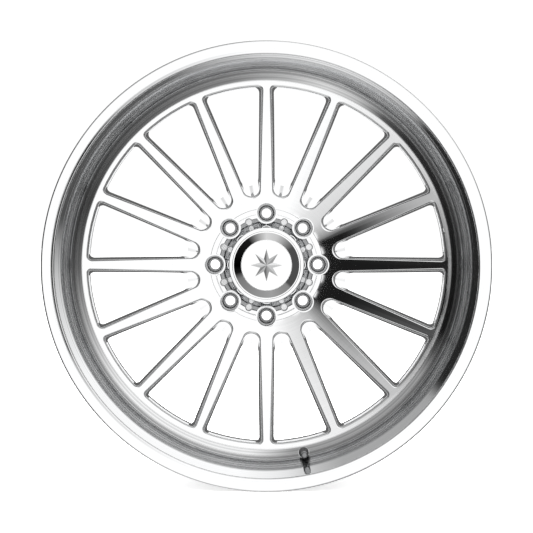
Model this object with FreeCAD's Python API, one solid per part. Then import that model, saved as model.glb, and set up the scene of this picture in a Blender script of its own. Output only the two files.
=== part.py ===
import FreeCAD
import Part
import math
import os

# Deep-lip forged wheel, welded from a rim barrel and a 16-spoke centre, with a bolted
# centre cap and a snap-in tyre valve. Millimetres. The wheel spins about +Y, its front
# (lip) side faces -Y and +Z is up. Depths are measured backwards from the front lip face.

V = FreeCAD.Vector
AXLE = V(0, 1, 0)

# ---------------------------------------------------------------- rim barrel
WIDTH_OVERALL = 381.0          # 14 in between flanges plus two flanges
FLANGE_T = 12.7                # flange thickness
R_FLANGE = 350.1               # outer edge of both flanges
R_SEAT = 332.6                 # bead seat at the flange (26 in size)
R_SEAT_TOE = 330.7             # seat after its 5 degree taper
SEAT_W = 22.0
R_HUMP = 332.0
HUMP_TOP = 26.3                # hump crest, from the flange's tyre side
HUMP_END = 33.0
R_HUMP_END = 329.8
R_LIP_IN = 328.96              # inner edge of the flat lip ring
R_CORNER_IN = 316.96           # where the lip barrel and the 45 degree step meet
Z_CORNER_IN = 138.54
CORNER_FILLET = 20.0
R_LAND_OUT = 299.4             # outer edge of the front land beside the centre
Z_LAND = 157.3
R_WELL_OUT = 301.0             # drop well, tyre side
R_WELL_IN = 295.5              # drop well, axle side
R_STEP_OUT = 321.3             # tyre side of the front wall where the well drops
Z_STEP_OUT = 160.0
Z_WELL_START = 168.0
Z_WELL_END = 292.0
Z_WELL_END_IN = 297.0
R_REAR_SHOULDER = 326.5
Z_REAR_SHOULDER = 318.0
R_REAR_IN = 320.5
Z_REAR_IN = 324.0
R_REAR_MOUTH = 325.0
Z_REAR_MOUTH = 360.0
R_REAR_EDGE = 328.5
LIP_FILLET = 2.7               # rounded edges of the barrel's section
FLANGE_FILLET = 2.5
FLANGE_BACK_FILLET = 9.4
SEAT_FILLET = 6.0
HUMP_FILLET = 3.0
HUMP_FOOT_FILLET = 4.0
STEP_FILLET = 8.0
LAND_FILLET = 2.5
REAR_FILLET = 12.0
REAR_WELL_FILLET = 14.0
REAR_MOUTH_FILLET = 10.0
REAR_EDGE_FILLET = 5.0

# ---------------------------------------------------------------- forged centre
SPOKES = 16
LUGS = 8
R_RING_IN = 284.0
Z_RING_BACK = 200.0
R_HUB_STEP = 91.3              # edge of the hub recess
Z_FACE_HUB = 174.0             # face depth at the hub recess
Z_HUB_FLAT = 196.0             # floor of the hub recess
Z_PAD = 266.7                  # mounting pad
R_PAD = 104.0
R_BORE = 62.5
R_BACK_HUB = 130.0
Z_BACK_HUB = 212.0
BORE_CHAMFER = 2.0
HUB_STEP_FILLET = 0.8
PAD_FILLET = 4.0
HUB_BACK_FILLET = 24.0
LOBE_OVER = 12.0               # lobe cutters start this far in front of the face
R_LUG_CIRCLE = 85.0            # 170 mm bolt circle
R_LUG_LOBE = 16.9              # flat land round each lug pocket
R_LUG_POCKET = 14.9
R_LUG_SEAT = 12.8
R_LUG_HOLE = 8.1
Z_LUG_SEAT = 232.0
LUG_EDGE = 0.6                 # chamfer on the pocket edge
SEAT_HALF_ANGLE = 30.0
R_CAP_RECESS = 85.0
Z_CAP_FLOOR = 236.0

# windows: (depth below the face, outer radius, corner radius, hub-end radius,
#           spoke half width at R_NEAR, spoke half width at R_FAR)
R_NEAR = 138.0
R_FAR = 280.0
WINDOW_FACE = (0.0, 293.2, 8.8, 109.3, 8.95, 5.3)
WINDOW_BEVEL = (4.0, 289.2, 5.0, 114.1, 11.0, 8.7)
WINDOW_BACK = (38.0, 288.6, 8.6, 126.5, 12.6, 11.3)
CUT_OVER = 2.4                 # cutter above the face
CUT_UNDER = 64.0               # cutter below the face

# ---------------------------------------------------------------- welds
SEAM_HALF = 1.8
SEAM_DEPTH = 3.4
BEAD_LEG = 6.0
BEAD_CREST = 3.7               # corner behind the bead's rounded face
BEAD_ROUND = 3.0

# ---------------------------------------------------------------- centre cap
R_CAP_TOP = 61.0
Z_CAP_TOP = 160.0
R_CAP_ROOT = 70.5
Z_CAP_CHANNEL = 226.0
R_CAP_FLANGE = 84.0
R_CAP_RIM_IN = 77.6
Z_CAP_RIM = 197.0
R_CAP_CAVITY = 57.0
Z_CAP_WEB = 168.0
R_CAP_WEB_BORE = 50.0
R_BEZEL_SEAT = 55.95
Z_BEZEL_SEAT = 163.0
SCALLOP_GAP = 1.0
R_SCREW_CIRCLE = 75.5
R_SCREW_HEAD = 5.3
R_SCREW_POCKET = 6.2
SCREW_HEAD_H = 6.0
R_SCREW = 2.95
R_SCREW_HOLE = 3.3
SCREW_LEN = 24.0
HEX_AF = 5.0
HEX_DEPTH = 3.2
R_INSERT = 4.0
R_INSERT_BORE = 3.05
INSERT_LEN = 14.0
INSERT_BELOW = 1.0
O_RING_R = 64.9
O_RING_SECTION = 1.3
O_RING_GROOVE = 1.5
O_RING_DEPTH = 3.0
O_RING_CLEAR = 0.3             # above the mating face, so the ring isn't squeezed here
CAP_TOP_FILLET = 1.2
CAP_ROOT_FILLET = 2.0
CAP_RIM_FOOT_FILLET = 1.0
CAP_RIM_FILLET = 0.6
CAP_WEB_FILLET = 1.5
SCREW_HEAD_FILLET = 0.7
SCREW_TIP_FILLET = 0.8
CUT_END = 1.0                  # cutters run this far past the face they open

R_BEZEL = 55.3
Z_BEZEL_TOP = 141.0
R_BEZEL_FLAT = 52.7
R_BOWL = 41.2
Z_BOWL = 148.0
Z_BOWL_LIP = 149.5
R_BEZEL_BORE = 45.0
BEZEL_EDGE_FILLET = 1.0
BOWL_EDGE_FILLET = 0.5
BADGE_FILLET = 0.4
R_SPIGOT = 49.7
Z_SPIGOT = 172.0
R_RING_GROOVE = 48.3
GROOVE_W = 1.9
R_SNAP_OUT = 52.6
SNAP_T = 1.5
SNAP_GAP = 7.0
SNAP_PLAY = 0.1                # ring in its groove
BADGE_PLAY = 0.3
Z_BADGE_BACK = 153.0
GASKET_T = 0.6
Z_PLATE_BACK = 159.3
PLATE_HOLE = 2.5
R_PLATE_HOLES = 30.0
STAR_POINTS = 8
R_STAR = 26.0
R_STAR_WAIST = 11.0
STAR_BASE = 0.6
STAR_PEAK = 3.6

# ---------------------------------------------------------------- tyre valve
VALVE_ANGLE = 281.25           # from +X towards +Z, between two spokes
R_VALVE = 309.0
R_VALVE_HOLE = 5.75
R_VALVE_POCKET = 8.8
Z_POCKET_START = 136.0
Z_POCKET_FLOOR = 155.5
Z_VALVE_BACK = 159.5
R_VALVE_SPOT = 8.6             # spot face on the tyre side
Z_SPOT_END = 171.2
R_BULB = 7.6
R_SKIRT = 8.2
Z_RUBBER_BACK = 170.0
Z_RUBBER_FRONT = 123.0
R_RUBBER_TIP = 4.9
R_RUBBER_NECK = 5.8            # before the rubber flares to its skirt
Z_RUBBER_NECK = 136.0
NECK_FILLET = 6.0
SKIRT_W = 4.0
BULB_W = 4.0
R_BULB_END = 5.8
RUBBER_FILLET = 2.0
RUBBER_EDGE = 0.8
R_STEM_CORE = 3.4
R_STEM_THREAD = 3.85
Z_STEM_BACK = 171.0
Z_THREAD_END = 122.0
Z_STEM_TIP = 107.5
R_CORE_BORE = 2.6
Z_CORE_CONE = 122.5
R_CORE_CHAMBER = 2.1
Z_CHAMBER_END = 131.0
R_AIRWAY = 1.5
THREAD_RUNOUT = 0.6
CONE_LEN = 2.0                 # core's sealing cone
STEM_FILLET = 0.5
STEM_BACK_FILLET = 0.4
R_VCAP = 5.2
Z_VCAP_TIP = 104.0
Z_VCAP_MOUTH = 121.0
R_VCAP_BORE = 3.95
VCAP_SEAL_T = 1.0
VCAP_DOME = 2.4
VCAP_EDGE = 0.4
FLUTES = 18                    # grip grooves round the valve cap
R_FLUTE = 0.5
FLUTE_OUT = 0.25               # groove centres sit outside the cap's wall
FLUTE_START = 5.0
SEAL_PLAY = 0.1
SEAL_LIP = 0.3
SEAL_GAP = 0.05
Z_HOUSING = (108.5, 118.0)
Z_GASKET = (118.2, 121.4)
Z_TAIL = 126.0
R_TAIL = 1.8
R_HOUSING = 2.5
HOUSING_EDGE = 0.2
GASKET_TIP = 2.3               # radius of the core gasket's small end
CORE_PLAY = 0.02
PIN_TIP_FILLET = 0.2
CUP_FILLET = 0.3
R_HOUSING_BORE = 1.4
R_TAIL_BORE = 0.9
R_PIN = 0.55
R_PIN_HEAD = 1.2
Z_PIN = (107.9, 129.0)
Z_PIN_COLLAR = (109.2, 110.2)
R_CUP = 1.7
CUP_T = 1.2
CUP_SEAL_T = 1.0
SPRING_R = 0.95
SPRING_WIRE = 0.14
Z_SPRING = (110.4, 115.6)
SPRING_TURNS = 6
Z_SHOULDER = 115.8


def point(radius, depth):
    return V(radius, depth - WIDTH_OVERALL / 2, 0)


def rounded_wire(corners):
    """Closed wire through (radius, depth, fillet) corners, with tangent arcs."""
    pts = [point(r, z) for r, z, _ in corners]
    spans = []
    for i, (_, _, fillet) in enumerate(corners):
        here, before, after = pts[i], pts[i - 1], pts[(i + 1) % len(pts)]
        if not fillet:
            spans.append((here, None, here))
            continue
        u = (before - here).normalize()
        v = (after - here).normalize()
        half = math.acos(u.dot(v)) / 2
        bisector = (u + v).normalize()
        reach = fillet / math.tan(half)
        middle = here + bisector * (fillet / math.sin(half) - fillet)
        spans.append((here + u * reach, middle, here + v * reach))
    edges = []
    for i, (start, middle, end) in enumerate(spans):
        if middle:
            edges.append(Part.Arc(start, middle, end).toShape())
        following = spans[(i + 1) % len(spans)][0]
        if end.distanceToPoint(following) > 1e-6:
            edges.append(Part.makeLine(end, following))
    return Part.Wire(edges)


def turned(corners, centre=V(0, 0, 0)):
    """Solid of revolution about an axis parallel to the axle."""
    full = [(c + (0,))[:3] for c in corners]
    solid = Part.Face(rounded_wire(full)).revolve(V(0, 0, 0), AXLE, 360)
    solid.translate(centre)
    return solid


def rod(radius, front, back, centre=V(0, 0, 0)):
    base = centre + V(0, front - WIDTH_OVERALL / 2, 0)
    return Part.makeCylinder(radius, back - front, base, AXLE)


def cone(radius_front, radius_back, front, back, centre=V(0, 0, 0)):
    base = centre + V(0, front - WIDTH_OVERALL / 2, 0)
    return Part.makeCone(radius_front, radius_back, back - front, base, AXLE)


def tube(outer, inner, front, back, centre=V(0, 0, 0)):
    return rod(outer, front, back, centre).cut(rod(inner, front, back, centre))


def around(radius, count, start=0.0):
    """Centres spaced round the axle, angles from +X towards +Z."""
    angles = [math.radians(start + 360.0 / count * i) for i in range(count)]
    return [V(radius * math.cos(a), 0, radius * math.sin(a)) for a in angles]


LUG_CENTRES = around(R_LUG_CIRCLE, LUGS)
SCREW_CENTRES = around(R_SCREW_CIRCLE, LUGS, 180.0 / LUGS)
VALVE = around(R_VALVE, 1, VALVE_ANGLE)[0]


# ---------------------------------------------------------------- barrel and centre
def rim_barrel():
    front, rear = FLANGE_T, WIDTH_OVERALL - FLANGE_T
    body = turned([
        (R_LIP_IN, 0, LIP_FILLET),
        (R_FLANGE, 0, FLANGE_FILLET),
        (R_FLANGE, front, FLANGE_BACK_FILLET),
        (R_SEAT, front, SEAT_FILLET),
        (R_SEAT_TOE, front + SEAT_W, HUMP_FILLET),
        (R_HUMP, front + HUMP_TOP, HUMP_FILLET),
        (R_HUMP_END, front + HUMP_END, HUMP_FOOT_FILLET),
        (R_STEP_OUT, Z_STEP_OUT, STEP_FILLET),
        (R_WELL_OUT, Z_WELL_START, STEP_FILLET),
        (R_WELL_OUT, Z_WELL_END, REAR_FILLET),
        (R_REAR_SHOULDER, Z_REAR_SHOULDER, REAR_FILLET),
        (R_HUMP_END, rear - HUMP_END, HUMP_FOOT_FILLET),
        (R_HUMP, rear - HUMP_TOP, HUMP_FILLET),
        (R_SEAT_TOE, rear - SEAT_W, HUMP_FILLET),
        (R_SEAT, rear, SEAT_FILLET),
        (R_FLANGE, rear, FLANGE_BACK_FILLET),
        (R_FLANGE, WIDTH_OVERALL, FLANGE_FILLET),
        (R_REAR_EDGE, WIDTH_OVERALL, REAR_EDGE_FILLET),
        (R_REAR_MOUTH, Z_REAR_MOUTH, REAR_MOUTH_FILLET),
        (R_REAR_IN, Z_REAR_IN, REAR_FILLET),
        (R_WELL_IN, Z_WELL_END_IN, REAR_WELL_FILLET),
        (R_WELL_IN, Z_LAND + SEAM_DEPTH),
        (R_WELL_IN + SEAM_HALF, Z_LAND),
        (R_LAND_OUT, Z_LAND, LAND_FILLET),
        (R_CORNER_IN, Z_CORNER_IN, CORNER_FILLET),
    ])
    cuts = [
        rod(R_VALVE_POCKET, Z_POCKET_START, Z_POCKET_FLOOR, VALVE),
        rod(R_VALVE_HOLE, Z_POCKET_FLOOR, Z_VALVE_BACK, VALVE),
        rod(R_VALVE_SPOT, Z_VALVE_BACK, Z_SPOT_END, VALVE),
    ]
    return body.cut(cuts)


def face_depth(radius):
    """Depth of the shallow conical front face of the centre."""
    share = (R_WELL_IN - radius) / (R_WELL_IN - R_HUB_STEP)
    return Z_LAND + (Z_FACE_HUB - Z_LAND) * share


def window_level(depth):
    """Window outline numbers at a depth below the face, ruled between the three sections."""
    upper, lower = (WINDOW_FACE, WINDOW_BEVEL)
    if depth > WINDOW_BEVEL[0]:
        upper, lower = (WINDOW_BEVEL, WINDOW_BACK)
    share = (depth - upper[0]) / (lower[0] - upper[0])
    return [a + (b - a) * share for a, b in zip(upper, lower)]


def tangent_circle_on_ray(line_point, line_normal, nearest):
    """Distance along the window's centre ray and radius of its hub-end arc."""
    gap = line_point.dot(line_normal)
    lean = V(0, 1, 0).dot(line_normal)
    centre = (nearest - gap) / (1 - lean)
    return centre, centre - nearest


def window_wire(depth):
    """Outline in a plane parallel to the face along the window's centre ray (x across, y out)."""
    _, outer, corner, hub_end, near, far = window_level(depth)
    lean = math.pi / SPOKES
    along = V(math.sin(lean), math.cos(lean), 0)
    side = V(-math.cos(lean), math.sin(lean), 0)
    start = along * R_NEAR + side * near
    end = along * R_FAR + side * far
    run = (end - start).normalize()
    inward = V(-run.y, run.x, 0)
    arc_y, arc_r = tangent_circle_on_ray(start, inward, hub_end)
    arc_centre = V(0, arc_y, 0)
    side_start = arc_centre - inward * arc_r
    # corner circle: inside the outer arc and the side line
    foot = start + inward * corner
    reach = outer - corner
    b = foot.dot(run)
    travel = -b + math.sqrt(b * b - foot.dot(foot) + reach * reach)
    hub = foot + run * travel
    side_end = hub - inward * corner
    out = V(hub.x, hub.y, 0).normalize()
    rim_end = hub + out * corner
    turn = (out - inward).normalize()
    corner_mid = hub + turn * corner

    def flip(p):
        return V(-p.x, p.y, 0)

    edges = [
        Part.Arc(flip(rim_end), V(0, outer, 0), rim_end).toShape(),
        Part.Arc(rim_end, corner_mid, side_end).toShape(),
        Part.makeLine(side_end, side_start),
        Part.Arc(side_start, V(0, hub_end, 0), flip(side_start)).toShape(),
        Part.makeLine(flip(side_start), flip(side_end)),
        Part.Arc(flip(side_end), flip(corner_mid), flip(rim_end)).toShape(),
    ]
    wire = Part.Wire(edges)
    wire.translate(V(0, 0, -depth))
    return wire


def window_cutter():
    """Bevel and drafted wall of one window, standing on the +Z ray of the wheel."""
    levels = [-CUT_OVER, WINDOW_BEVEL[0], CUT_UNDER]
    bevel = Part.makeLoft([window_wire(levels[0]), window_wire(levels[1])], True, True)
    wall = Part.makeLoft([window_wire(levels[1]), window_wire(levels[2])], True, True)
    tool = bevel.fuse(wall)
    # local x -> X, local y (outwards) -> +Z, local z (towards the front) -> -Y
    tool.rotate(V(0, 0, 0), V(1, 0, 0), 90)
    slope = math.degrees(math.atan2(Z_FACE_HUB - Z_LAND, R_WELL_IN - R_HUB_STEP))
    pivot = point(0, face_depth(0))
    tool.translate(V(0, pivot.y, 0))
    tool.rotate(V(0, pivot.y, 0), V(1, 0, 0), slope)
    return tool


def lug_tool(centre):
    seat_run = (R_LUG_SEAT - R_LUG_HOLE) / math.tan(math.radians(SEAT_HALF_ANGLE))
    tool = rod(R_LUG_POCKET, Z_HUB_FLAT, Z_LUG_SEAT, centre)
    parts = [
        cone(R_LUG_POCKET + LUG_EDGE, R_LUG_POCKET, Z_HUB_FLAT, Z_HUB_FLAT + LUG_EDGE, centre),
        cone(R_LUG_SEAT, R_LUG_HOLE, Z_LUG_SEAT, Z_LUG_SEAT + seat_run, centre),
        rod(R_LUG_HOLE, Z_LUG_SEAT, Z_PAD + CUT_END, centre),
    ]
    return tool.multiFuse(parts)


def forged_centre():
    body = turned([
        (R_WELL_IN - SEAM_HALF, face_depth(R_WELL_IN - SEAM_HALF)),
        (R_HUB_STEP, Z_FACE_HUB, HUB_STEP_FILLET),
        (R_HUB_STEP, Z_HUB_FLAT),
        (R_BORE, Z_HUB_FLAT),
        (R_BORE, Z_PAD - BORE_CHAMFER),
        (R_BORE + BORE_CHAMFER, Z_PAD),
        (R_PAD, Z_PAD, PAD_FILLET),
        (R_BACK_HUB, Z_BACK_HUB, HUB_BACK_FILLET),
        (R_RING_IN, Z_RING_BACK),
        (R_WELL_IN, Z_RING_BACK),
        (R_WELL_IN, Z_LAND + SEAM_DEPTH),
    ])
    cutter = window_cutter()
    windows = []
    for i in range(SPOKES):
        tool = cutter.copy()
        tool.rotate(V(0, 0, 0), AXLE, 360.0 / SPOKES * (i + 0.5))
        windows.append(tool)
    lobes = [rod(R_LUG_LOBE, Z_FACE_HUB - LOBE_OVER, Z_HUB_FLAT, c) for c in LUG_CENTRES]
    posts = [rod(R_LUG_LOBE, Z_HUB_FLAT, Z_CAP_FLOOR, c) for c in LUG_CENTRES]
    recess = rod(R_CAP_RECESS, Z_HUB_FLAT, Z_CAP_FLOOR).cut(posts)
    lugs = [lug_tool(c) for c in LUG_CENTRES]
    inserts = [rod(R_INSERT, Z_CAP_FLOOR, Z_CAP_FLOOR + INSERT_LEN + 2 * INSERT_BELOW, c)
               for c in SCREW_CENTRES]
    return body.cut(windows).cut(lobes).cut(recess).cut(lugs).cut(inserts)


def weld_seam_front():
    return turned([
        (R_WELL_IN + SEAM_HALF, Z_LAND),
        (R_WELL_IN, Z_LAND + SEAM_DEPTH),
        (R_WELL_IN - SEAM_HALF, face_depth(R_WELL_IN - SEAM_HALF)),
    ])


def weld_bead_rear():
    return turned([
        (R_WELL_IN - BEAD_LEG, Z_RING_BACK),
        (R_WELL_IN, Z_RING_BACK),
        (R_WELL_IN, Z_RING_BACK + BEAD_LEG),
        (R_WELL_IN - BEAD_CREST, Z_RING_BACK + BEAD_CREST, BEAD_ROUND),
    ])


# ---------------------------------------------------------------- centre cap
def cap_body():
    body = turned([
        (R_BEZEL_SEAT, Z_CAP_TOP),
        (R_CAP_TOP, Z_CAP_TOP, CAP_TOP_FILLET),
        (R_CAP_ROOT, Z_CAP_CHANNEL, CAP_ROOT_FILLET),
        (R_CAP_RIM_IN, Z_CAP_CHANNEL, CAP_RIM_FOOT_FILLET),
        (R_CAP_RIM_IN, Z_CAP_RIM),
        (R_CAP_FLANGE, Z_CAP_RIM, CAP_RIM_FILLET),
        (R_CAP_FLANGE, Z_CAP_FLOOR),
        (O_RING_R + O_RING_GROOVE, Z_CAP_FLOOR),
        (O_RING_R + O_RING_GROOVE, Z_CAP_FLOOR - O_RING_DEPTH),
        (O_RING_R - O_RING_GROOVE, Z_CAP_FLOOR - O_RING_DEPTH),
        (O_RING_R - O_RING_GROOVE, Z_CAP_FLOOR),
        (R_CAP_CAVITY, Z_CAP_FLOOR),
        (R_CAP_CAVITY, Z_CAP_WEB, CAP_WEB_FILLET),
        (R_CAP_WEB_BORE, Z_CAP_WEB),
        (R_CAP_WEB_BORE, Z_BEZEL_SEAT),
        (R_BEZEL_SEAT, Z_BEZEL_SEAT),
    ])
    scallops = [rod(R_LUG_LOBE + SCALLOP_GAP, Z_CAP_TOP, Z_CAP_FLOOR + CUT_END, c)
                for c in LUG_CENTRES]
    pockets = [rod(R_SCREW_POCKET, Z_CAP_RIM - CUT_END, Z_CAP_CHANNEL, c) for c in SCREW_CENTRES]
    holes = [rod(R_SCREW_HOLE, Z_CAP_CHANNEL, Z_CAP_FLOOR + CUT_END, c) for c in SCREW_CENTRES]
    return body.cut(scallops).cut(pockets).cut(holes)


def cap_bezel():
    groove = Z_CAP_WEB
    return turned([
        (R_BOWL, Z_BOWL),
        (R_BEZEL_FLAT, Z_BEZEL_TOP, BOWL_EDGE_FILLET),
        (R_BEZEL, Z_BEZEL_TOP, BEZEL_EDGE_FILLET),
        (R_BEZEL, Z_BEZEL_SEAT),
        (R_SPIGOT, Z_BEZEL_SEAT),
        (R_SPIGOT, groove),
        (R_RING_GROOVE, groove),
        (R_RING_GROOVE, groove + GROOVE_W),
        (R_SPIGOT, groove + GROOVE_W),
        (R_SPIGOT, Z_SPIGOT),
        (R_BEZEL_BORE, Z_SPIGOT),
        (R_BEZEL_BORE, Z_BOWL_LIP),
        (R_BOWL, Z_BOWL_LIP),
    ])


def cap_badge_disc():
    return turned([
        (0, Z_BOWL),
        (R_BOWL - BADGE_PLAY, Z_BOWL, BADGE_FILLET),
        (R_BOWL - BADGE_PLAY, Z_BOWL_LIP + GASKET_T),
        (R_BEZEL_BORE - BADGE_PLAY, Z_BOWL_LIP + GASKET_T),
        (R_BEZEL_BORE - BADGE_PLAY, Z_BADGE_BACK),
        (0, Z_BADGE_BACK),
    ])


def cap_badge_star():
    """Generic eight-point relief: a flat star with a faceted peak."""
    ring = []
    for i in range(2 * STAR_POINTS):
        r = R_STAR_WAIST if i % 2 else R_STAR
        a = math.pi * i / STAR_POINTS
        ring.append(V(r * math.cos(a), 0, r * math.sin(a)))
    base = point(0, Z_BOWL)
    top = base - V(0, STAR_BASE, 0)
    peak = base - V(0, STAR_PEAK, 0)
    faces = [Part.Face(Part.makePolygon([p + base for p in ring + ring[:1]]))]
    for a, b in zip(ring, ring[1:] + ring[:1]):
        faces.append(Part.Face(Part.makePolygon([a + base, b + base, b + top, a + top, a + base])))
        faces.append(Part.Face(Part.makePolygon([a + top, b + top, peak, a + top])))
    return Part.makeSolid(Part.makeShell(faces))


def cap_badge_gasket():
    return tube(R_BEZEL_BORE - BADGE_PLAY, R_BOWL + BADGE_PLAY, Z_BOWL_LIP,
                Z_BOWL_LIP + GASKET_T)


def cap_backing_plate():
    plate = rod(R_BEZEL_BORE - BADGE_PLAY, Z_BADGE_BACK, Z_PLATE_BACK)
    holes = [rod(PLATE_HOLE, Z_BADGE_BACK + GASKET_T, Z_PLATE_BACK, c)
             for c in around(R_PLATE_HOLES, 2)]
    return plate.cut(holes)


def cap_snap_ring():
    front = Z_CAP_WEB + SNAP_PLAY
    ring = tube(R_SNAP_OUT, R_RING_GROOVE + SNAP_PLAY, front, front + SNAP_T)
    gap = Part.makeBox(SNAP_GAP, 3 * SNAP_T, R_SNAP_OUT + CUT_END)
    gap.translate(point(-SNAP_GAP / 2, front - SNAP_T))
    return ring.cut(gap)


def cap_o_ring():
    return Part.makeTorus(O_RING_R, O_RING_SECTION,
                          point(0, Z_CAP_FLOOR - O_RING_SECTION - O_RING_CLEAR), AXLE)


def cap_screws():
    solids = []
    for c in SCREW_CENTRES:
        top = Z_CAP_CHANNEL - SCREW_HEAD_H
        screw = turned([
            (0, top),
            (R_SCREW_HEAD, top, SCREW_HEAD_FILLET),
            (R_SCREW_HEAD, Z_CAP_CHANNEL),
            (R_SCREW, Z_CAP_CHANNEL),
            (R_SCREW, Z_CAP_CHANNEL + SCREW_LEN, SCREW_TIP_FILLET),
            (0, Z_CAP_CHANNEL + SCREW_LEN),
        ])
        corner = HEX_AF / math.sqrt(3)
        hexagon = [V(corner * math.cos(math.pi * i / 3), 0, corner * math.sin(math.pi * i / 3))
                   for i in range(7)]
        socket = Part.Face(Part.makePolygon(hexagon)).extrude(V(0, HEX_DEPTH, 0))
        socket.translate(point(0, top))
        screw = screw.cut(socket)
        screw.translate(c)
        solids.append(screw)
    return Part.makeCompound(solids)


def cap_screw_inserts():
    front = Z_CAP_FLOOR + INSERT_BELOW
    return Part.makeCompound([tube(R_INSERT, R_INSERT_BORE, front, front + INSERT_LEN, c)
                              for c in SCREW_CENTRES])


# ---------------------------------------------------------------- tyre valve
def valve_rubber():
    return turned([
        (R_STEM_CORE, Z_RUBBER_FRONT),
        (R_RUBBER_TIP, Z_RUBBER_FRONT, RUBBER_EDGE),
        (R_RUBBER_NECK, Z_RUBBER_NECK, NECK_FILLET),
        (R_SKIRT, Z_POCKET_FLOOR - SKIRT_W, RUBBER_FILLET),
        (R_SKIRT, Z_POCKET_FLOOR),
        (R_VALVE_HOLE, Z_POCKET_FLOOR),
        (R_VALVE_HOLE, Z_VALVE_BACK),
        (R_BULB, Z_VALVE_BACK),
        (R_BULB, Z_VALVE_BACK + BULB_W, RUBBER_FILLET),
        (R_BULB_END, Z_RUBBER_BACK, RUBBER_EDGE),
        (R_STEM_CORE, Z_RUBBER_BACK),
    ], VALVE)


def valve_stem():
    return turned([
        (R_CORE_BORE, Z_STEM_TIP),
        (R_STEM_THREAD, Z_STEM_TIP, STEM_FILLET),
        (R_STEM_THREAD, Z_THREAD_END),
        (R_STEM_CORE, Z_THREAD_END + THREAD_RUNOUT),
        (R_STEM_CORE, Z_STEM_BACK, STEM_BACK_FILLET),
        (R_AIRWAY, Z_STEM_BACK),
        (R_AIRWAY, Z_CHAMBER_END),
        (R_CORE_CHAMBER, Z_CHAMBER_END),
        (R_CORE_CHAMBER, Z_CORE_CONE),
        (R_CORE_BORE, Z_CORE_CONE - CONE_LEN),
    ], VALVE)


def valve_cap():
    cap = turned([
        (0, Z_VCAP_TIP),
        (R_VCAP, Z_VCAP_TIP, VCAP_DOME),
        (R_VCAP, Z_VCAP_MOUTH, VCAP_EDGE),
        (R_VCAP_BORE, Z_VCAP_MOUTH),
        (R_VCAP_BORE, Z_STEM_TIP - VCAP_SEAL_T),
        (0, Z_STEM_TIP - VCAP_SEAL_T),
    ], VALVE)
    grip = around(R_VCAP + FLUTE_OUT, FLUTES)
    flutes = [rod(R_FLUTE, Z_VCAP_TIP + FLUTE_START, Z_VCAP_MOUTH + CUT_END, VALVE + g)
              for g in grip]
    return cap.cut(flutes)


def valve_cap_seal():
    front = Z_STEM_TIP - VCAP_SEAL_T
    return tube(R_VCAP_BORE - SEAL_PLAY, R_PIN_HEAD + SEAL_LIP, front,
                Z_STEM_TIP - SEAL_GAP, VALVE)


def core_housing():
    return turned([
        (R_HOUSING_BORE, Z_HOUSING[0]),
        (R_HOUSING, Z_HOUSING[0], HOUSING_EDGE),
        (R_HOUSING, Z_HOUSING[1]),
        (R_TAIL, Z_HOUSING[1]),
        (R_TAIL, Z_TAIL),
        (R_TAIL_BORE, Z_TAIL),
        (R_TAIL_BORE, Z_SHOULDER),
        (R_HOUSING_BORE, Z_SHOULDER),
    ], VALVE)


def core_gasket():
    front, back = Z_GASKET
    outer = cone(R_HOUSING, GASKET_TIP, front, back, VALVE)
    return outer.cut(rod(R_TAIL + CORE_PLAY, front, back, VALVE))


def core_pin():
    front, back = Z_PIN
    return turned([
        (0, front),
        (R_PIN, front, PIN_TIP_FILLET),
        (R_PIN, Z_PIN_COLLAR[0]),
        (R_PIN_HEAD, Z_PIN_COLLAR[0]),
        (R_PIN_HEAD, Z_PIN_COLLAR[1]),
        (R_PIN, Z_PIN_COLLAR[1]),
        (R_PIN, back - CUP_T),
        (R_CUP, back - CUP_T),
        (R_CUP, back, CUP_FILLET),
        (0, back),
    ], VALVE)


def core_cup_seal():
    back = Z_PIN[1] - CUP_T
    return tube(R_CUP, R_PIN + CORE_PLAY, back - CUP_SEAL_T, back, VALVE)


def core_spring():
    front, back = Z_SPRING
    height = back - front - 2 * SPRING_WIRE
    path = Part.makeHelix(height / SPRING_TURNS, height, SPRING_R)
    wire = Part.Wire([Part.makeCircle(SPRING_WIRE, V(SPRING_R, 0, 0), V(0, 1, 0))])
    coil = Part.Wire(path).makePipeShell([wire], True, True)
    coil.rotate(V(0, 0, 0), V(1, 0, 0), -90)
    coil.translate(VALVE + point(0, front + SPRING_WIRE))
    return coil


NODES = [
    rim_barrel, forged_centre, weld_seam_front, weld_bead_rear,
    cap_body, cap_bezel, cap_badge_disc, cap_badge_star, cap_badge_gasket,
    cap_backing_plate, cap_snap_ring, cap_o_ring, cap_screws, cap_screw_inserts,
    valve_rubber, valve_stem, valve_cap, valve_cap_seal,
    core_housing, core_gasket, core_pin, core_cup_seal, core_spring,
]

os.makedirs("parts", exist_ok=True)
for build in NODES:
    shape = build()
    shape.exportStep("parts/%s.step" % build.__name__)
    box = shape.BoundBox
    print("%-18s valid=%s solids=%d volume=%.1f Y %.1f..%.1f R %.1f" % (
        build.__name__, shape.isValid(), len(shape.Solids), shape.Volume,
        box.YMin, box.YMax, max(box.XMax, box.ZMax)))
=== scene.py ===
# %% [markdown]
# # A mirror-polished forged truck-style racing wheel
# The wheel is a deep aluminium barrel with a 16-spoke forged centre welded into it, a
# bolted centre cap and a snap-in tyre valve. The frame holds its measured parts; this
# notebook gives it its turned and polished looks. Metres throughout: +Y runs along the
# axle towards the vehicle, the polished lip faces -Y and +Z is up.

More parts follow.
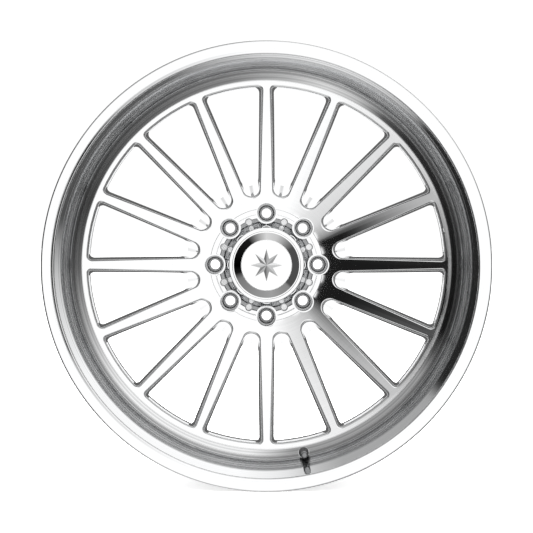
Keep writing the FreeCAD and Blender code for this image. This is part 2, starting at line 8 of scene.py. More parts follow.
# %%
# Load the measured wheel
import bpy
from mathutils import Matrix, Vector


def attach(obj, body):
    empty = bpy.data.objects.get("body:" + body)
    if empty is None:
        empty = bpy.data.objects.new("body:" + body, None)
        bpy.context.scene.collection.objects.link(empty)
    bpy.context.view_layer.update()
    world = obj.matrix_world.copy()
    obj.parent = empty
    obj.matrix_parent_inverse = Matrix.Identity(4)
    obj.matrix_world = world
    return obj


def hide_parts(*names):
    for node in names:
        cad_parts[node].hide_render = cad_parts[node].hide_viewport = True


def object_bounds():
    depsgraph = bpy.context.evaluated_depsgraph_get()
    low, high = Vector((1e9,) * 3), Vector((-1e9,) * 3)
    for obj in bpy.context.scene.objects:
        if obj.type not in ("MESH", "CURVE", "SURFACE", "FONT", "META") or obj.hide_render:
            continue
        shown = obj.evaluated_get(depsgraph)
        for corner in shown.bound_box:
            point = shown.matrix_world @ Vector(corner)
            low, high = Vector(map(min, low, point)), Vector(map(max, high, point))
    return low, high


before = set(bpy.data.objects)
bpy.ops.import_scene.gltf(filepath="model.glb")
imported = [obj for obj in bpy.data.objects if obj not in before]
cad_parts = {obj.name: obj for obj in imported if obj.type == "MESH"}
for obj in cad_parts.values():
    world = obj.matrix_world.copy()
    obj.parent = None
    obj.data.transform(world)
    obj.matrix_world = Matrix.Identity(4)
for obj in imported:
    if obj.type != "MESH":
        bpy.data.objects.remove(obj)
cad_box = [list(corner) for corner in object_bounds()]

import math

import bmesh
import bpy
from mathutils import Matrix, Vector

MM = 0.001
WIDTH = 381.0                  # between the two outer flange faces
LIP_Y = -WIDTH / 2 * MM        # plane of the polished lip
AXLE = (0, 1, 0)
ROUND_STEPS = 256              # steps of a full turn on the big mirror surfaces
print("wheel box", cad_box)

# %% [markdown]
# ## The lathe and the bench
# Nearly everything on a wheel is turned, so one small "lathe" does most of the work: it
# takes a section as (radius, depth, fillet) corners, rounds each corner with a bevel and
# spins the section round the axle. Depth is measured backwards from the lip face, as a
# wheel maker would with a depth gauge.

# %%
# Lathe, cutters and finishing


def corner_reach(before, here, after, fillet):
    """How far along both edges a fillet of this radius starts."""
    half = (before - here).angle(after - here) / 2
    return fillet / math.tan(half)


def turned(corners, steps=ROUND_STEPS, centre=(0.0, 0.0), open_on_axis=False, arc=6):
    """A section of (radius mm, depth mm, fillet mm) corners spun round the axle."""
    bm = bmesh.new()
    points = [Vector((c[0], c[1] - WIDTH / 2, 0)) * MM for c in corners]
    verts = [bm.verts.new(p) for p in points]
    pairs = list(zip(verts, verts[1:]))
    if not open_on_axis:
        pairs.append((verts[-1], verts[0]))
    for a, b in pairs:
        bm.edges.new((a, b))
    for i, corner in enumerate(corners):
        if len(corner) > 2:
            here = points[i]
            after = points[(i + 1) % len(points)]
            reach = corner_reach(points[i - 1], here, after, corner[2] * MM)
            bmesh.ops.bevel(bm, geom=[verts[i]], offset=reach, offset_type="OFFSET",
                            affect="VERTICES", segments=arc, profile=0.5, material=-1,
                            clamp_overlap=False)
    bmesh.ops.spin(bm, geom=bm.verts[:] + bm.edges[:], cent=(0, 0, 0), axis=AXLE,
                   dvec=(0, 0, 0), angle=2 * math.pi, steps=steps, use_merge=True,
                   use_normal_flip=False, use_duplicate=False)
    bmesh.ops.remove_doubles(bm, verts=bm.verts, dist=1e-6)
    bmesh.ops.recalc_face_normals(bm, faces=bm.faces)
    bmesh.ops.translate(bm, verts=bm.verts, vec=(centre[0] * MM, 0, centre[1] * MM))
    return bm


def as_object(bm, name):
    mesh = bpy.data.meshes.new(name)
    bm.to_mesh(mesh)
    bm.free()
    piece = bpy.data.objects.new(name, mesh)
    bpy.context.scene.collection.objects.link(piece)
    return piece


def join(meshes):
    """One bmesh holding several, each freed as it is taken in."""
    whole = bmesh.new()
    for bm in meshes:
        part = bpy.data.meshes.new("part")
        bm.to_mesh(part)
        bm.free()
        whole.from_mesh(part)
        bpy.data.meshes.remove(part)
    return whole


def cut(piece, tool_bm):
    """Machine a shape out of a piece: a cutter is subtracted, then thrown away."""
    tool = as_object(tool_bm, "cutter")
    step = piece.modifiers.new("cut", "BOOLEAN")
    step.operation, step.solver, step.object = "DIFFERENCE", "EXACT", tool
    settle(piece)
    bpy.data.objects.remove(tool)


def settle(piece):
    """Apply every modifier by taking the evaluated mesh."""
    graph = bpy.context.evaluated_depsgraph_get()
    done = bpy.data.meshes.new_from_object(piece.evaluated_get(graph))
    piece.modifiers.clear()
    old = piece.data
    piece.data = done
    done.name = piece.name
    bpy.data.meshes.remove(old)


def polish_normals(piece, sharp_deg=30.0):
    """Smooth shading with crisp edges, and normals that follow the big faces."""
    piece.data.shade_smooth()
    piece.data.set_sharp_from_angle(angle=math.radians(sharp_deg))
    step = piece.modifiers.new("weigh", "WEIGHTED_NORMAL")
    step.mode, step.weight, step.keep_sharp = "FACE_AREA", 50, True
    settle(piece)


def around(radius, count, start_deg=0.0):
    """Places spaced round the axle, from +X towards +Z, in mm."""
    turns = [math.radians(start_deg + 360.0 / count * i) for i in range(count)]
    return [(radius * math.cos(a), radius * math.sin(a)) for a in turns]


VALVE = around(309.0, 1, 281.25)[0]
print("valve at", [round(v, 1) for v in VALVE])

# %% [markdown]
# ## Finishes
# Polished aluminium is close to a mirror, but not a perfect one: the polishing mop leaves
# very fine rings round the axle and a cloudy change in sharpness. Most finishes below are
# mixed from the distance to the axle (turning rings) and slow noise (cloudiness). The
# barrel and the cap also change with depth, so nothing is one flat colour.

# %%
# Finish maker


class Finish:
    """A material and short helpers to add its nodes."""

    def __init__(self, name):
        self.mat = bpy.data.materials.new(name)
        self.mat.use_nodes = True
        self.tree = self.mat.node_tree
        self.shader = self.tree.nodes["Principled BSDF"]
        self.place = self.tree.nodes.new("ShaderNodeTexCoord").outputs["Object"]

    def math(self, operation, a, b=None, c=None):
        node = self.tree.nodes.new("ShaderNodeMath")
        node.operation = operation
        for socket, value in zip(node.inputs, (a, b, c)):
            self.feed(socket, value)
        return node.outputs[0]

    def feed(self, socket, value):
        if value is None:
            return
        if isinstance(value, bpy.types.NodeSocket):
            self.tree.links.new(value, socket)
        else:
            socket.default_value = value

    def axes(self, source=None):
        node = self.tree.nodes.new("ShaderNodeSeparateXYZ")
        self.feed(node.inputs[0], source or self.place)
        return node.outputs

    def radius(self, centre=(0.0, 0.0)):
        x, _, z = self.axes()
        x = self.math("SUBTRACT", x, centre[0] * MM)
        z = self.math("SUBTRACT", z, centre[1] * MM)
        return self.math("SQRT", self.math("ADD", self.math("MULTIPLY", x, x),
                                           self.math("MULTIPLY", z, z)))

    def noise(self, scale, detail=3.0, source=None, rough=0.55):
        node = self.tree.nodes.new("ShaderNodeTexNoise")
        self.feed(node.inputs["Vector"], source or self.place)
        node.inputs["Scale"].default_value = scale
        node.inputs["Detail"].default_value = detail
        node.inputs["Roughness"].default_value = rough
        return node.outputs["Fac"]

    def rings(self, per_metre, centre=(0.0, 0.0)):
        """Irregular fine rings round an axis: noise read along the radius and the depth."""
        node = self.tree.nodes.new("ShaderNodeCombineXYZ")
        self.feed(node.inputs[0], self.radius(centre))
        self.feed(node.inputs[1], self.axes()[1])
        return self.noise(per_metre, 2.0, node.outputs[0])

    def spread(self, value, low, high, to_low, to_high):
        node = self.tree.nodes.new("ShaderNodeMapRange")
        node.interpolation_type = "SMOOTHSTEP"
        for socket, v in zip(node.inputs, (value, low, high, to_low, to_high)):
            self.feed(socket, v)
        return node.outputs[0]

    def mix(self, share, a, b):
        node = self.tree.nodes.new("ShaderNodeMix")
        node.data_type = "RGBA"
        self.feed(node.inputs[0], share)
        self.feed(node.inputs[6], a if isinstance(a, bpy.types.NodeSocket) else (*a, 1))
        self.feed(node.inputs[7], b if isinstance(b, bpy.types.NodeSocket) else (*b, 1))
        return node.outputs[2]

    def bump(self, height, distance_mm, strength=1.0):
        node = self.tree.nodes.new("ShaderNodeBump")
        node.inputs["Strength"].default_value = strength
        node.inputs["Distance"].default_value = distance_mm * MM
        self.feed(node.inputs["Height"], height)
        self.feed(self.shader.inputs["Normal"], node.outputs[0])

    def source(self, name):
        """What already feeds one of the shader's sockets."""
        return self.shader.inputs[name].links[0].from_socket

    def set(self, **sockets):
        for name, value in sockets.items():
            socket = self.shader.inputs[name.replace("_", " ")]
            if isinstance(value, tuple):
                value = (*value, 1)
            self.feed(socket, value)
        return self


def turned_metal(name, dark, light, rough, ring_scale, ring_depth_mm, centre=(0.0, 0.0)):
    """Metal with turning rings: colour, sharpness and height all follow the rings."""
    f = Finish(name)
    rings = f.rings(ring_scale, centre)
    cloud = f.noise(14.0)
    f.set(Metallic=1.0, Base_Color=f.mix(f.spread(rings, 0.3, 0.7, 0.0, 1.0), dark, light),
          Roughness=f.math("ADD", f.spread(cloud, 0.3, 0.7, rough[0], rough[1]),
                           f.spread(rings, 0.35, 0.65, -0.2 * rough[0], 0.2 * rough[0])))
    f.bump(rings, ring_depth_mm, 0.5)
    return f


# %% [markdown]
# ### The barrel and the forged centre
# Both are polished where they are seen from the front. The foot of the barrel's wall keeps
# its turning rings, which break up its reflections; the light and dark rings in its colour
# are painted reflection stripes. Behind, the barrel and the back of the centre are left as
# they came off the lathe and the mill: duller, with coarser rings.

# %%
# Wheel finishes


def polished_wheel(name):
    """Near-mirror aluminium with barely visible polishing rings."""
    return turned_metal(name, (0.885, 0.89, 0.895), (0.93, 0.933, 0.937), (0.012, 0.022),
                        900.0, 0.001)


def milled_back(name):
    """The back of the centre: cutter passes cross the turning rings, then a light blast."""
    f = Finish(name)
    rings = f.rings(700.0)
    passes = f.noise(70.0, 2.0)
    both = f.mix(0.25, rings, passes)
    f.set(Metallic=1.0,
          Base_Color=f.mix(f.spread(both, 0.3, 0.7, 0.0, 1.0), (0.72, 0.725, 0.73),
                           (0.85, 0.855, 0.86)),
          Roughness=f.spread(passes, 0.3, 0.7, 0.22, 0.3))
    f.bump(both, 0.012, 0.5)
    return f


# painted reflection: these depths set where light and dark rings are mixed into the colour at
# the foot of the lip wall, with a share of them on the step; they paint the striped
# reflections there over real turning rings
BAND_STARTS = (0.086, 0.090)     # depths behind the lip between which the mirror ends
BAND_ENDS = (0.1500, 0.1515)     # depths between which it mostly comes back
BEHIND_CENTRE = (0.159, 0.165)   # depths between which the as-turned inside begins
LEFT_AT_STEP = 0.35              # share of the turned look that stays on the step
BAND_ROUGHNESS = 0.2             # added to the mirror's own


def barrel_skin(name):
    """Mirror wall, turning rings at its foot whose light and dark colour is painted reflection
    stripes, as turned behind.
    """
    f = polished_wheel(name)
    depth = f.math("SUBTRACT", f.axes()[1], LIP_Y)
    band = f.math("MULTIPLY", f.spread(depth, *BAND_STARTS, 0.0, 1.0),
                  f.spread(depth, *BAND_ENDS, 1.0, LEFT_AT_STEP))
    band = f.math("MAXIMUM", band, f.spread(depth, *BEHIND_CENTRE, 0.0, 1.0))
    rings = f.spread(f.noise(430.0, 1.0, f.radius()), 0.42, 0.58, 0.0, 1.0)
    mirror = f.source("Base Color")
    mirror_rough = f.source("Roughness")
    # painted reflection: at the wall's foot these light and dark rings paint the striped
    # reflection; behind the centre they are the real as-turned rings
    turned_rings_and_painted_stripes = f.mix(rings, (0.40, 0.403, 0.407), (0.94, 0.943, 0.945))
    f.set(Base_Color=f.mix(band, mirror, turned_rings_and_painted_stripes),
          Roughness=f.math("MULTIPLY_ADD", band, BAND_ROUGHNESS, mirror_rough))
    return f


polished_barrel = barrel_skin("polished_barrel")
tyre_side = turned_metal("tyre_side_as_turned", (0.70, 0.705, 0.71), (0.84, 0.845, 0.85),
                         (0.26, 0.34), 1600.0, 0.03)
polished_centre = polished_wheel("polished_centre")
milled_centre = milled_back("centre_back_as_milled")
lug_seat = turned_metal("lug_seat_as_bored", (0.50, 0.505, 0.51), (0.66, 0.665, 0.67),
                        (0.2, 0.28), 1400.0, 0.01)
weld_dressed = turned_metal("weld_dressed", (0.87, 0.875, 0.88), (0.92, 0.922, 0.925),
                            (0.04, 0.07), 500.0, 0.006)


CHANNEL_FLOOR_Y = (225.2 - WIDTH / 2) * MM
CHANNEL_BLEND = 0.001
CHANNEL_ROUGHNESS = 0.24


def cap_skin(name):
    """Polished cap whose screw channel is left satin, with painted shade darkening its floor.
    """
    f = turned_metal(name, (0.885, 0.89, 0.895), (0.93, 0.933, 0.937), (0.02, 0.04),
                     1200.0, 0.003)
    channel = f.spread(f.axes()[1], CHANNEL_FLOOR_Y - CHANNEL_BLEND, CHANNEL_FLOOR_Y, 0.0, 1.0)
    colour = f.source("Base Color")
    rough = f.source("Roughness")
    # painted shade: the channel floor's colour drops to dark grey where the recess lies in
    # shade; the added roughness is its real satin
    f.set(Base_Color=f.mix(channel, colour, (0.44, 0.445, 0.45)),
          Roughness=f.math("MULTIPLY_ADD", channel, CHANNEL_ROUGHNESS, rough))
    return f


polished_cap = cap_skin("polished_cap")
bezel_mirror = turned_metal("bezel_mirror", (0.94, 0.942, 0.945), (0.97, 0.971, 0.973),
                            (0.02, 0.035), 1500.0, 0.002)
badge_mirror = turned_metal("badge_mirror", (0.90, 0.903, 0.905), (0.94, 0.942, 0.945),
                            (0.03, 0.05), 1200.0, 0.002)
star_facets = turned_metal("star_facets", (0.80, 0.805, 0.81), (0.90, 0.903, 0.905),
                           (0.05, 0.09), 900.0, 0.004)
plate_turned = turned_metal("plate_turned", (0.66, 0.67, 0.68), (0.80, 0.805, 0.81),
                            (0.24, 0.34), 1400.0, 0.02)
print("wheel finishes made")

# %% [markdown]
# ### Small parts
# Screws and inserts are stainless with fine turning rings, the snap ring and the valve
# spring are darker oiled spring steel, the valve insides are brass, and the rubber parts
# are nearly black with a faint bloom.

# %%
# Small-part finishes


def rubber(name, dark, light, rough):
    f = Finish(name)
    bloom = f.noise(160.0, 4.0)
    grain = f.noise(2600.0, 2.0)
    f.set(Base_Color=f.mix(f.spread(bloom, 0.35, 0.75, 0.0, 1.0), dark, light),
          Roughness=f.spread(grain, 0.3, 0.7, rough[0], rough[1]))
    f.shader.inputs["Specular IOR Level"].default_value = 0.4
    f.bump(grain, 0.02, 0.4)
    return f


screw_stainless = turned_metal("screw_stainless", (0.74, 0.745, 0.75), (0.86, 0.863, 0.867),
                               (0.10, 0.16), 2500.0, 0.006)
insert_stainless = turned_metal("insert_stainless", (0.55, 0.56, 0.57), (0.70, 0.71, 0.72),
                                (0.24, 0.32), 2500.0, 0.01)
spring_steel = turned_metal("spring_steel_oiled", (0.30, 0.31, 0.33), (0.46, 0.47, 0.49),
                            (0.22, 0.32), 3000.0, 0.005)
brass = turned_metal("valve_brass_turned", (0.62, 0.46, 0.22), (0.80, 0.63, 0.34),
                     (0.16, 0.26), 3500.0, 0.01, VALVE)
valve_cap_grey = turned_metal("valve_cap_satin", (0.27, 0.275, 0.28), (0.38, 0.385, 0.39),
                              (0.22, 0.30), 3500.0, 0.01, VALVE)
seal_black = rubber("seal_rubber_matt", (0.018, 0.018, 0.019), (0.035, 0.035, 0.036),
                    (0.45, 0.6))
valve_black = rubber("valve_rubber_moulded", (0.028, 0.028, 0.029), (0.05, 0.05, 0.051),
                     (0.6, 0.75))

finish_of = {
    "rim_barrel": polished_barrel, "forged_centre": polished_centre,
    "weld_seam_front": weld_dressed, "weld_bead_rear": weld_dressed,
    "cap_body": polished_cap, "cap_bezel": bezel_mirror, "cap_badge_disc": badge_mirror,
    "cap_badge_star": star_facets, "cap_badge_gasket": seal_black,
    "cap_backing_plate": plate_turned, "cap_snap_ring": spring_steel,
    "cap_o_ring": seal_black, "cap_screws": screw_stainless,
    "cap_screw_inserts": insert_stainless, "valve_rubber": valve_black,
    "valve_stem": brass, "valve_cap": valve_cap_grey, "valve_cap_seal": seal_black,
    "core_housing": brass, "core_gasket": seal_black, "core_pin": brass,
    "core_cup_seal": seal_black, "core_spring": spring_steel,
}
for node, finish in finish_of.items():
    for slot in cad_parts[node].material_slots:
        slot.material = finish.mat
print(len(finish_of), "measured parts finished")

# %% [markdown]
# ## The barrel
# A real barrel is rolled or spun from a forged ring and then turned all over. Here its
# section goes round in 256 steps, because a mirror shows every flat. The lip wall bends
# very slightly towards its foot, so it mirrors only the spoke ring and not the windows.
# The front land leans like the spoke face, and the weld is dressed flush across the joint.

# %%
# Spin the barrel and bore the valve pocket
FLANGE = 12.7
REAR = WIDTH - FLANGE
barrel_section = [
    (328.96, 0, 2.7), (350.1, 0, 2.5), (350.1, FLANGE, 9.4), (332.6, FLANGE, 6.0),
    (330.7, FLANGE + 22.0, 3.0), (332.0, FLANGE + 26.3, 3.0), (329.8, FLANGE + 33.0, 4.0),
    (321.3, 160.0, 8.0), (301.0, 168.0, 8.0), (301.0, 292.0, 12.0), (326.5, 318.0, 12.0),
    (329.8, REAR - 33.0, 4.0), (332.0, REAR - 26.3, 3.0), (330.7, REAR - 22.0, 3.0),
    (332.6, REAR, 6.0), (350.1, REAR, 9.4), (350.1, WIDTH, 2.5), (328.5, WIDTH, 5.0),
    (325.0, 360.0, 10.0), (320.5, 324.0, 12.0), (295.5, 297.0, 14.0), (295.5, 160.7),
    (297.3, 157.153), (299.4, 156.98, 2.5), (316.5, 143.6, 8.0), (322.6, 84.0, 1200.0),
    (326.9, 34.0, 1200.0),
]
barrel = as_object(turned(barrel_section, arc=8), "rim_shell")
valve_bore = [(0.0, 136.0), (8.8, 136.0), (8.8, 155.5), (5.75, 155.5), (5.75, 159.5),
              (8.6, 159.5), (8.6, 171.2), (0.0, 171.2)]
cut(barrel, turned(valve_bore, steps=64, centre=VALVE, open_on_axis=True))
barrel.data.materials.append(polished_barrel.mat)
barrel.data.materials.append(tyre_side.mat)
FLANGE_POLISH = 6 * MM           # the polish wraps this far over the lip's edge
INSIDE_R = 0.2985                # every tyre-side face is further out than this
for face in barrel.data.polygons:
    c = face.center
    outward = c.x * face.normal.x + c.z * face.normal.z
    behind_lip = c.y > LIP_Y + FLANGE_POLISH
    on_tyre_side = outward > 0 and behind_lip and c.xz.length > INSIDE_R
    face.material_index = 1 if on_tyre_side else 0
polish_normals(barrel)
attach(barrel, "wheel")
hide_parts("rim_barrel")
print("barrel", len(barrel.data.polygons), "faces")

# %% [markdown]
# ## The forged centre
# The centre is forged as a disc, turned to a shallow cone in front and then milled: the
# sixteen windows leave sixteen spokes, and the cutter rolls their edges over. One window
# cutter is lofted through levels that follow that rolled edge and then the drafted wall,
# and the same cutter is used at every window.

# %%
# Turn the disc, mill the windows and bore the lug seats
SPOKES = 16
FACE_DROP = 16.7 / 204.2       # the face falls this much per mm towards the hub
FACE_TILT = math.atan(FACE_DROP)
FACE_AT_AXLE = 157.3 + 295.5 * FACE_DROP
NEAR_R, FAR_R = 138.0, 280.0   # where the half spoke widths below are measured
# each outline: outer radius, corner fillet, hub end, half spoke at NEAR_R and at FAR_R
AT_FACE = (293.2, 8.8, 109.3, 8.95, 5.3)
UNDER_EDGE = (289.2, 5.0, 114.1, 11.0, 8.7)
AT_BACK = (288.6, 8.6, 126.5, 12.6, 11.3)
EDGE_DEPTH = 4.0               # depth of the rolled edge
BACK_DEPTH = 38.0              # where the AT_BACK outline is measured
CUTTER_TOP = -2.4              # the cutter starts clear of the face
CUTTER_END = 64.0              # and ends clear of the back
ROLL_STEPS = 6
NOSE_STEPS = 8
CORNER_STEPS = 6
NOSE_SHARE = 0.995             # the two nose bevels almost meet, so the end is round


def face_depth(radius):
    return FACE_AT_AXLE - radius * FACE_DROP


def between(a, b, share):
    return tuple(p + (q - p) * share for p, q in zip(a, b))


def window_loop(bm, depth, outline):
    """One level of the window cutter: a few corners, rounded with a vertex bevel."""
    outer, corner, hub_end, near, far = outline
    lean = math.pi / SPOKES
    along = Vector((math.sin(lean), math.cos(lean)))
    side = Vector((-math.cos(lean), math.sin(lean)))
    start, end = along * NEAR_R + side * near, along * FAR_R + side * far
    run = (end - start).normalized()
    apex = start.y - start.x * run.y / run.x
    reach = math.sqrt(outer ** 2 - (start.x * run.y - start.y * run.x) ** 2)
    tip = start + run * (reach - start.dot(run))
    spread = math.atan2(tip.x, tip.y)
    arc = [Vector((math.sin(spread * t), math.cos(spread * t))) * outer
           for t in (0.6, 0.2, -0.2, -0.6)]
    nose = (hub_end - apex) * run.x / run.y
    flat = [Vector((nose, hub_end)), tip, *arc, Vector((-tip.x, tip.y)),
            Vector((-nose, hub_end))]
    verts = [bm.verts.new(Vector((v.x, depth, v.y)) * MM) for v in flat]
    for pair in zip(verts, verts[1:] + verts[:1]):
        bm.edges.new(pair)
    turns = [(vert, nose * NOSE_SHARE * MM, NOSE_STEPS) for vert in (verts[0], verts[-1])]
    for i in (1, -2):
        reach = corner_reach(verts[i - 1].co, verts[i].co, verts[i + 1].co, corner * MM)
        turns.append((verts[i], reach, CORNER_STEPS))
    known = set(bm.verts) - set(verts)
    for vert, reach, steps in turns:
        bmesh.ops.bevel(bm, geom=[vert], offset=reach, offset_type="OFFSET",
                        affect="VERTICES", segments=steps, profile=0.5, material=-1,
                        clamp_overlap=False)
    return [e for e in bm.edges if not e.link_faces and e.verts[0] not in known]


def window_cutter():
    """Rolled edge, then drafted wall, lofted level by level."""
    levels = [(CUTTER_TOP, AT_FACE)]
    for step in range(ROLL_STEPS + 1):
        roll = math.radians(90.0 / ROLL_STEPS * step)
        levels.append((EDGE_DEPTH * (1 - math.cos(roll)),
                       between(AT_FACE, UNDER_EDGE, math.sin(roll))))
    share = (CUTTER_END - EDGE_DEPTH) / (BACK_DEPTH - EDGE_DEPTH)
    levels.append((CUTTER_END, between(UNDER_EDGE, AT_BACK, share)))
    bm = bmesh.new()
    loops = [window_loop(bm, *level) for level in levels]
    for first, second in zip(loops, loops[1:]):
        bmesh.ops.bridge_loops(bm, edges=first + second)
    for loop in (loops[0], loops[-1]):
        bmesh.ops.edgeloop_fill(bm, edges=loop)
    bmesh.ops.recalc_face_normals(bm, faces=bm.faces)
    place = Matrix.Translation((0, FACE_AT_AXLE * MM + LIP_Y, 0))
    bmesh.ops.transform(bm, matrix=place @ Matrix.Rotation(FACE_TILT, 4, "X"),
                        verts=bm.verts)
    return bm


def all_round(make, count, start_deg=0.0):
    """The same cutter at every place round the axle."""
    copies = []
    for i in range(count):
        bm = make()
        turn = Matrix.Rotation(math.radians(start_deg + 360.0 / count * i), 4, "Y")
        bmesh.ops.transform(bm, matrix=turn, verts=bm.verts)
        copies.append(bm)
    return join(copies)


LUGS = around(85.0, 8)
centre_section = [
    (293.7, face_depth(293.7)), (91.3, 174.0, 0.8), (91.3, 196.0), (62.5, 196.0),
    (62.5, 264.7), (64.5, 266.7), (104.0, 266.7, 4.0), (130.0, 212.0, 24.0),
    (284.0, 200.0), (295.5, 200.0), (295.5, 160.7),
]
centre = as_object(turned(centre_section), "spoked_centre")
cut(centre, all_round(window_cutter, SPOKES, 180.0 / SPOKES))
lug_section = [(0.0, 162.0), (16.9, 162.0), (16.9, 196.0), (15.5, 196.0), (14.9, 196.6),
               (14.9, 232.0), (12.8, 232.0), (8.1, 240.14), (8.1, 268.0), (0.0, 268.0)]
post_section = [(0.0, 190.0), (16.9, 190.0), (16.9, 240.0), (0.0, 240.0)]
cap_seat = as_object(turned([(55.0, 195.0), (85.0, 195.0), (85.0, 236.0), (55.0, 236.0)]),
                     "cap_seat_cutter")
cut(cap_seat, join([turned(post_section, 64, c, True) for c in LUGS]))
seat_bm = bmesh.new()
seat_bm.from_mesh(cap_seat.data)
bpy.data.objects.remove(cap_seat)
cut(centre, seat_bm)
cut(centre, join([turned(lug_section, 64, c, True) for c in LUGS]))
insert_section = [(0.0, 230.0), (4.0, 230.0), (4.0, 252.0), (0.0, 252.0)]
cut(centre, join([turned(insert_section, 24, c, True) for c in around(75.5, 8, 22.5)]))
centre.data.materials.append(polished_centre.mat)
centre.data.materials.append(milled_centre.mat)
centre.data.materials.append(lug_seat.mat)
LUG_POCKET_R = 15.0
FACES_BACK = 0.3                 # a face whose normal points this much backwards is milled
for face in centre.data.polygons:
    spot = face.center.xz / MM
    in_lug = any((spot - Vector(c)).length < LUG_POCKET_R for c in LUGS)
    face.material_index = 1 if face.normal.y > FACES_BACK else (2 if in_lug else 0)
polish_normals(centre)
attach(centre, "wheel")
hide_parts("forged_centre")
print("centre", len(centre.data.polygons), "faces")

# %% [markdown]
# The front weld joins centre and barrel. On a polished wheel it is dressed flush, so its
# top simply carries the face's slope across the joint.

# %%
# Dressed weld seam
seam = as_object(turned([(297.3, face_depth(297.3)), (295.5, 160.7),
                         (293.7, face_depth(293.7))]), "dressed_seam")
seam.data.materials.append(weld_dressed.mat)
polish_normals(seam)
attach(seam, "wheel")
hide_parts("weld_seam_front")
print("seam", len(seam.data.polygons), "faces")

# %% [markdown]
# ## The studio
# A mirror has no colour of its own: it shows the room. So the room matters as much as the
# metal. The wheel stands on a plain pale floor in front of white, and reflects a large
# dome with light and dark panels, like those hung round a shiny product. The dome and
# the front panel are only there for reflections: the camera doesn't see them.

# %%
# Reflection dome
DOME_R = 12.0


def glow(name):
    """An emission finish whose strength the caller makes from the object's own place."""
    f = Finish(name)
    f.tree.nodes.remove(f.shader)
    f.shader = f.tree.nodes.new("ShaderNodeEmission")
    f.tree.links.new(f.shader.outputs[0], f.tree.nodes["Material Output"].inputs[0])
    return f


def sectors(f, turn, stops):
    """Brightness round the axle from (degrees, value) stops, 0 at +X, 90 at the top."""
    node = f.tree.nodes.new("ShaderNodeValToRGB")
    f.feed(node.inputs[0], turn)
    ramp = node.color_ramp
    ramp.interpolation = "LINEAR"
    while len(ramp.elements) > 1:
        ramp.elements.remove(ramp.elements[-1])
    ramp.elements[0].position = stops[0][0] / 360.0
    ramp.elements[0].color = (*[stops[0][1]] * 3, 1)
    for degrees, value in stops[1:]:
        ramp.elements.new(degrees / 360.0).color = (value, value, value, 1)
    return node.outputs[0]


def turn_of(f):
    """Direction round the axle as 0..1, from +X towards +Z."""
    x, _, z = f.axes()
    turn = f.math("DIVIDE", f.math("ARCTAN2", z, x), 2 * math.pi)
    return f.math("FRACT", f.math("ADD", turn, 1.0))


dome_light = glow("dome_panels")
turn = turn_of(dome_light)
_, y, _ = dome_light.axes()
# lean is the angle from straight ahead (-Y), in degrees
lean = dome_light.math("DEGREES", dome_light.math("ARCTAN2", dome_light.radius(),
                                                  dome_light.math("MULTIPLY", y, -1.0)))
dish_panels = [(0, .62), (12, .82), (30, 1.1), (82, 1.15), (95, .95), (105, .6), (112, .45),
               (143, .43), (147, .02), (223, .02), (227, .45), (240, .8), (255, .98),
               (270, .85), (285, .5), (296, .12), (345, .08), (352, .35), (360, .62)]
cap_panels = [(0, 0.0), (14, .01), (26, .2), (60, .27), (100, .36), (125, .27), (136, .25),
              (141, .075), (215, .075), (228, .25), (250, .6), (270, .7), (284, .4),
              (296, .14), (305, .01), (360, 0.0)]
side_panels = [(0, .008), (42, .03), (52, .1), (62, .6), (72, .78), (84, .5), (100, .26),
               (125, .15), (160, .06), (180, .14), (198, .45), (212, .8), (222, 1.0),
               (265, 1.0), (278, .35), (285, .38), (325, .36), (333, .1), (340, .008)]
soft_panels = [(0, .36), (45, .85), (90, 1.0), (135, .36), (180, .12), (225, .3), (270, .8),
               (315, .4), (360, .36)]
dish = sectors(dome_light, turn, dish_panels)
cap = sectors(dome_light, turn, cap_panels)
# the step mirrors the far side of the room, so its panels are turned half way round
far_turn = dome_light.math("FRACT", dome_light.math("ADD", turn, 0.5))
side = sectors(dome_light, far_turn, side_panels)
soft = sectors(dome_light, turn, soft_panels)
WHITE = (1.12, 1.12, 1.12)
DARK_BEHIND = (.06, .06, .06)
GREY_BEHIND = (.12, .12, .12)
# from straight ahead to straight behind: each band takes over between two leans
bands = [(15.5, 18.0, dish), (30.5, 34.0, soft), (52.0, 56.0, cap), (65.0, 69.0, side),
         (96.0, 102.0, DARK_BEHIND), (128.0, 134.0, WHITE), (152.0, 162.0, GREY_BEHIND)]
value = WHITE
for starts, full, panels in bands:
    value = dome_light.mix(dome_light.spread(lean, starts, full, 0, 1), value, panels)
dome_light.feed(dome_light.shader.inputs["Color"], value)
bm = bmesh.new()
bmesh.ops.create_uvsphere(bm, u_segments=64, v_segments=32, radius=DOME_R)
dome = as_object(bm, "reflection_dome")
dome.data.shade_smooth()
dome.data.materials.append(dome_light.mat)

# %% [markdown]
# The spoke face is a very shallow cone, so each spot on it shows one small patch of the
# room straight ahead. One panel there carries the soft dark flag that gives the face its
# shadowed wedge on the right.

# %%
# Front panel with the soft flag
flag_light = glow("front_flag")
turn = turn_of(flag_light)
near_ring = sectors(flag_light, turn, [(0, 1.12), (100, 1.12), (120, .84), (130, .7),
    (140, .52), (150, .33), (158, .07), (165, .012), (181, .012), (187, .2), (192, .34),
    (202, .52), (212, .68), (222, .8), (235, .95), (250, 1.12), (360, 1.12)])
near_hub = sectors(flag_light, turn, [(0, 1.12), (95, 1.12), (110, .88), (120, .74),
    (130, .58), (139, .2), (146, .012), (203, .012), (206, .3), (212, .52), (220, .76),
    (232, .86), (250, 1.12), (360, 1.12)])
FLAG_INNER = (.325, .345)        # the cap and lug seats mirror what is inside this
FLAG_TURNOVER = (.40, .95)       # from what the ring mirrors to what the hub mirrors
FLAG_OUTER = (1.066, 1.084)      # the flat lip mirrors what is outside this
out = flag_light.radius()
value = flag_light.mix(flag_light.spread(out, *FLAG_TURNOVER, 0, 1), near_ring, near_hub)
value = flag_light.mix(flag_light.spread(out, *FLAG_INNER, 1, 0), value, WHITE)
value = flag_light.mix(flag_light.spread(out, *FLAG_OUTER, 0, 1), value, WHITE)
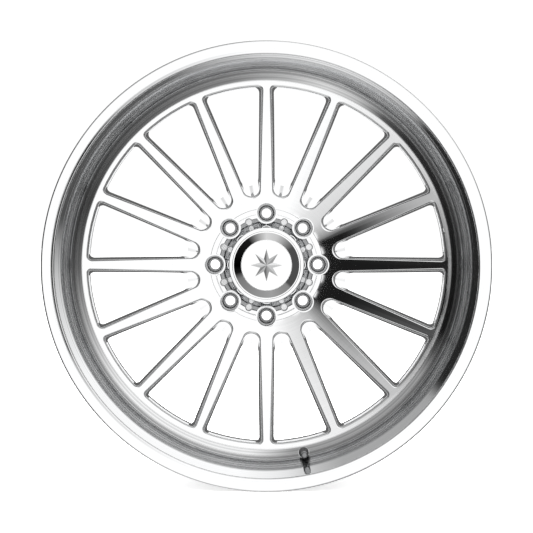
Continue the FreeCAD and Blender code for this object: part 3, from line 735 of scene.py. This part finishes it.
flag_light.feed(flag_light.shader.inputs["Color"], value)
FRONT_PANEL_R = 1.2
FRONT_PANEL_PLACE = (0, -8.33, -0.1125)
bm = bmesh.new()
bmesh.ops.create_circle(bm, cap_ends=True, segments=96, radius=FRONT_PANEL_R,
                        matrix=Matrix.Rotation(math.pi / 2, 4, "X"))
front_panel = as_object(bm, "front_panel")
front_panel.location = FRONT_PANEL_PLACE
front_panel.data.materials.append(flag_light.mat)
for panel in (dome, front_panel):
    panel.visible_camera = panel.visible_diffuse = panel.visible_shadow = False
    panel.visible_transmission = panel.visible_volume_scatter = False

# %% [markdown]
# The floor is a plain pale sheet just under the tyre flanges. It is matt, and it is kept
# out of the metal's reflections, which belong to the dome.

# %%
# Floor, white room and soft lamps
floor_finish = Finish("pale_floor")
speckle = floor_finish.noise(35.0, 4.0)
floor_finish.set(Base_Color=floor_finish.mix(speckle, (0.93, 0.93, 0.93), (0.96, 0.96, 0.96)),
                 Roughness=0.9, Emission_Color=(1.0, 1.0, 1.0), Emission_Strength=0.6)
FLOOR_SIZE = 60.0
FLOOR_GAP = 0.0002               # keeps the floor just clear of the tyre flanges
bm = bmesh.new()
bmesh.ops.create_grid(bm, x_segments=2, y_segments=2, size=FLOOR_SIZE)
floor = as_object(bm, "floor")
floor.location = (0, 0, cad_box[0][2] - FLOOR_GAP)
floor.data.materials.append(floor_finish.mat)
floor.visible_glossy = False

world = bpy.data.worlds.new("white_room")
bpy.context.scene.world = world
world.use_nodes = True
backdrop = world.node_tree.nodes["Background"]
backdrop.inputs["Color"].default_value = (1, 1, 1, 1)
backdrop.inputs["Strength"].default_value = 1.05


def lamp(name, place, size, watts):
    data = bpy.data.lights.new(name, "AREA")
    data.shape, data.size, data.energy = "SQUARE", size, watts
    light = bpy.data.objects.new(name, data)
    light.location = place
    light.rotation_euler = (-Vector(place)).to_track_quat("-Z", "Y").to_euler()
    light.visible_camera = light.visible_glossy = False
    bpy.context.scene.collection.objects.link(light)


lamp("overhead_softbox", (0.5, -1.5, 4.5), 3.5, 420.0)
lamp("left_softbox", (-3.5, -4.0, 3.0), 2.5, 220.0)
lamp("right_softbox", (3.5, -4.0, 3.0), 2.5, 220.0)

# %%
# Camera a little above the axle, straight in front
camera_data = bpy.data.cameras.new("camera")
camera_data.lens, camera_data.sensor_width = 153.9, 36.0
camera_data.clip_end = 200.0
camera = bpy.data.objects.new("camera", camera_data)
bpy.context.scene.collection.objects.link(camera)
camera.location = (0, -3.7195, 0.0503)
look = Vector((0, LIP_Y, 0)) - camera.location
camera.rotation_euler = look.to_track_quat("-Z", "Y").to_euler()
bpy.context.scene.camera = camera
bpy.context.scene.view_settings.view_transform = "Standard"
bpy.context.scene.cycles.max_bounces = 16
bpy.context.scene.cycles.glossy_bounces = 14
